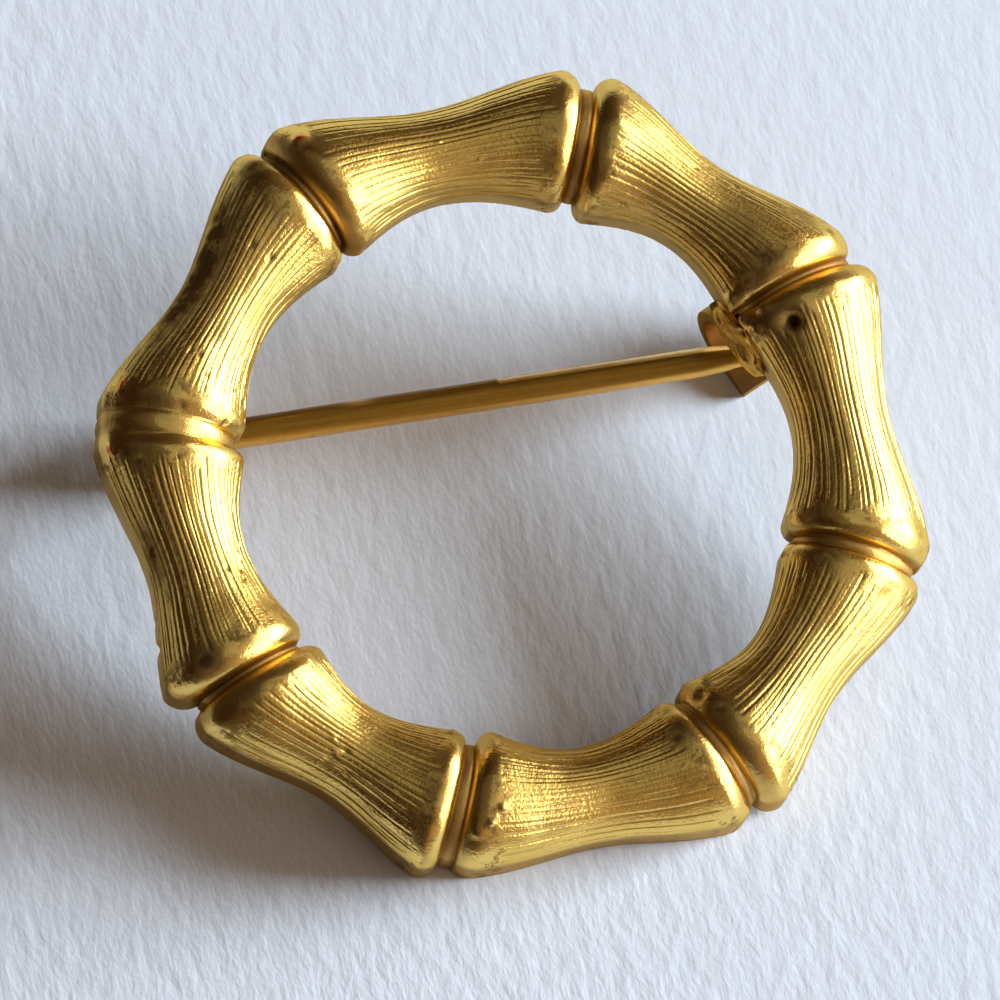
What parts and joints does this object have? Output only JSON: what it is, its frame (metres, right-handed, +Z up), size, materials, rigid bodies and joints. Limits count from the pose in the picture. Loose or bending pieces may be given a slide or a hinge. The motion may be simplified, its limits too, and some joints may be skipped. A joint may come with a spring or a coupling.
{
  "type": "circle brooch",
  "caption": "Round cast brooch shaped as a ring of bamboo lengths, worn on cloth by a hinged pin stem held in an open hook behind it.",
  "frame": {"origin": "on the surface the brooch lies on, under the middle of its bounding box", "axes": "+X along the pin stem from the hinge to the catch, +Z up from the surface, so the ring's flat back faces down and is tilted 11.1 degrees about X with its -Y side lowest"},
  "size_m": [0.0306, 0.0298, 0.0083],
  "materials": {
    "cast_gold": "satin gold plate with engraved lines and polished lips",
    "rivet_gold": "satin gold plate",
    "stem_gold": "drawn wire, gold plate"
  },
  "bodies": {
    "ring": {"bamboo_ring": "cast_gold", "hinge_rivet": "rivet_gold"},
    "pin": {"pin_stem": "stem_gold"}
  },
  "joints": [
    {"name": "pin_hinge", "type": "hinge", "parent": "ring", "child": "pin", "pos_m": [-0.01205, 0.00447, 0.00134], "axis": [0, 0.9812, 0.1928], "range_deg": [0, 100]}
  ]
}
